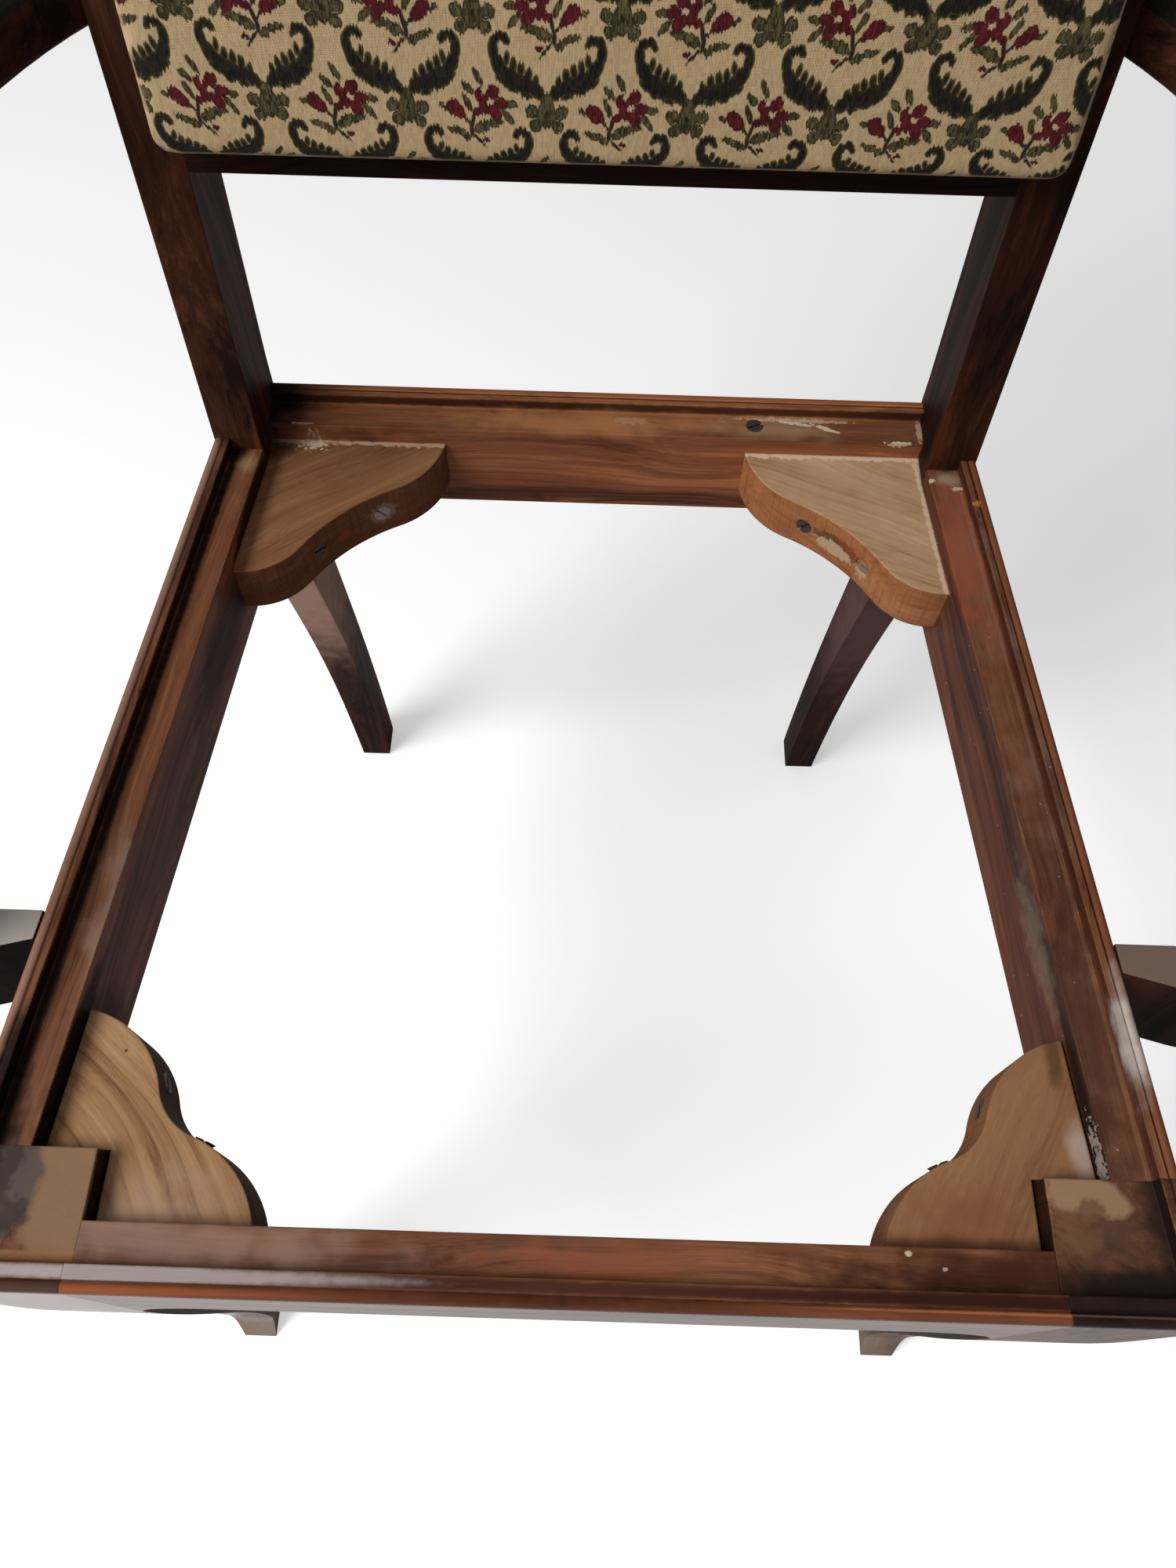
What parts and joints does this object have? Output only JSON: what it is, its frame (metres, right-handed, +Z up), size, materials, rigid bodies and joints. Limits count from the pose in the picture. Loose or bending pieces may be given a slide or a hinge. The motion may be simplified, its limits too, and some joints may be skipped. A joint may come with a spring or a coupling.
{
  "type": "armchair frame",
  "caption": "Art deco armchair frame without its loose seat: rebated seat rails, shaped corner blocks, raked posts, tapestry back pad, outswept arms.",
  "frame": {"origin": "on the floor, under the middle of the chair's bounding box", "axes": "+X to the right as seen from the front, +Y to the back, +Z up; the chair faces -Y"},
  "size_m": [0.6322, 0.506, 0.8571],
  "materials": {
    "walnut": "reddish-brown stain, waxed satin, worn along the edges",
    "dark_walnut": "near-black brown stain, satin polish",
    "block_wood": "bare, dusty hardwood with bold grain",
    "dowel_wood": "bare beech",
    "steel": "old slotted steel, brown with age",
    "tapestry": "ribbed beige weave with green scrolling leaves and burgundy flower sprigs",
    "linen": "plain woven lining",
    "jute": "coarse woven webbing"
  },
  "bodies": {
    "root": {"front_rail": "walnut", "rear_rail": "walnut", "side_rail_left": "walnut", "side_rail_right": "walnut", "front_leg_left": "walnut", "front_leg_right": "walnut", "back_leg_left": "dark_walnut", "back_leg_right": "dark_walnut", "front_block_left": "block_wood", "front_block_right": "block_wood", "rear_block_left": "block_wood", "rear_block_right": "block_wood", "block_screws": "steel", "ledge_screw": "steel", "seat_frame_dowels": "dowel_wood", "back_frame_dowels": "dowel_wood", "arm_frame_dowels": "dowel_wood", "lower_back_rail": "dark_walnut", "crest_rail": "dark_walnut", "back_webbing": "jute", "outside_back": "linen", "back_pad": "tapestry", "back_piping": "tapestry", "arm_left": "dark_walnut", "arm_right": "dark_walnut", "arm_support_left": "dark_walnut", "arm_support_right": "dark_walnut"}
  },
  "joints": []
}
